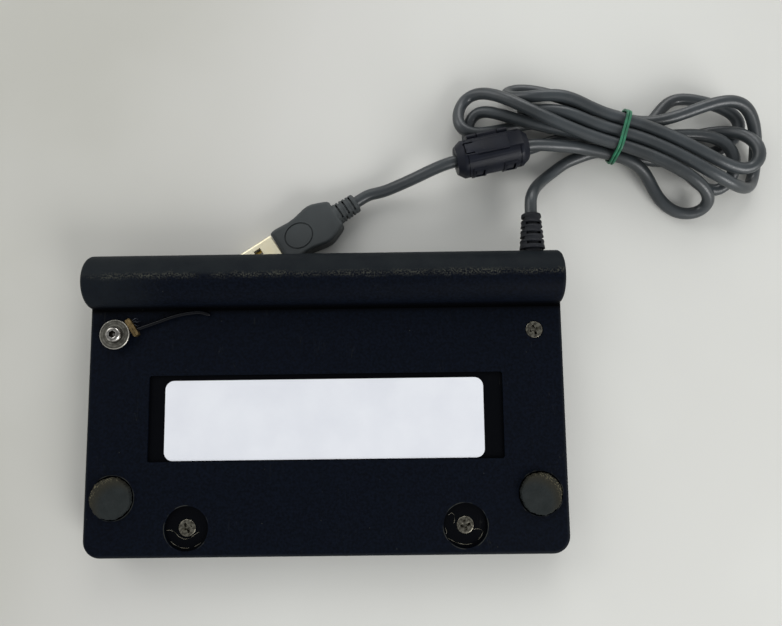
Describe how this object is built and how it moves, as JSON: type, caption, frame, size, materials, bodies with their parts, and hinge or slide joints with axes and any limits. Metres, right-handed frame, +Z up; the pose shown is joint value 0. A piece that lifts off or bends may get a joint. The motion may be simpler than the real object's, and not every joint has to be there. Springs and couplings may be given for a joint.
{
  "type": "signature pad",
  "caption": "Desktop signature pad lying on its face, with a round rear roll, pen rest, blank label, feet, and a cable with ferrite clamp and plug tied in a hank.",
  "frame": {"origin": "under the middle of the pad without its cable, on the plane of the writing face", "axes": "+X to the side where the cable leaves, +Y to the rear roll, +Z up out of the underside; the pad lies on its face"},
  "size_m": [0.2257, 0.1571, 0.0209],
  "materials": {
    "housing": "fine textured black moulding",
    "clear_plastic": "polished clear plastic",
    "foam": "black, matt",
    "sheet_steel": "plain sheet",
    "display_glass": "dark glass",
    "circuit_board": "green solder mask",
    "cream_plastic": "moulded",
    "rubber": "dark grey, matt",
    "cable": "grey vinyl jacket",
    "elastic": "green rubber",
    "clamp_case": "satin black moulding",
    "ferrite": "sintered",
    "screw": "dull zinc",
    "bright_screw": "bright",
    "washer": "dull nickel",
    "brass": "plain",
    "plug_shell": "plated",
    "label": "blank white sticker"
  },
  "bodies": {
    "pad": {"bottom_cover": "housing", "top_cover": "housing", "display_window": "clear_plastic", "lcd_gasket": "foam", "lcd_bezel": "sheet_steel", "lcd_glass": "display_glass", "backlight_guide": "clear_plastic", "sensor_board": "circuit_board", "sensor_shield": "sheet_steel", "main_board": "circuit_board", "controller_chip": "foam", "lcd_ribbon": "cream_plastic", "ribbon_connector": "cream_plastic", "usb_header": "cream_plastic", "inner_lead": "cable", "board_screw_1": "screw", "board_screw_2": "screw", "board_screw_3": "screw", "board_screw_4": "screw", "case_screw_rear_right": "screw", "case_screw_front_left": "screw", "case_screw_front_right": "screw", "tether_screw": "bright_screw", "tether_washer": "washer", "tether_loop": "cable", "tether_crimp": "brass", "tether_stub": "cable", "rubber_foot_left": "rubber", "rubber_foot_right": "rubber", "label_blank": "label", "cable_boot": "rubber", "cable_lead": "cable", "cable_hank": "cable", "cable_tail": "cable", "rubber_band": "elastic", "ferrite_case_base": "clamp_case", "ferrite_core_lower": "ferrite", "plug_overmould": "rubber", "plug_shell": "plug_shell", "plug_tongue": "cream_plastic", "plug_contact_1": "brass", "plug_contact_2": "brass", "plug_contact_3": "brass", "plug_contact_4": "brass"},
    "clamp_lid": {"ferrite_case_lid": "clamp_case", "ferrite_core_upper": "ferrite"}
  },
  "joints": [
    {"name": "clamp_lid_hinge", "type": "hinge", "parent": "pad", "child": "clamp_lid", "pos_m": [0.05381, 0.08815, 0.01095], "axis": [-0.9792, -0.2028, 0], "range_deg": [0, 90]}
  ]
}
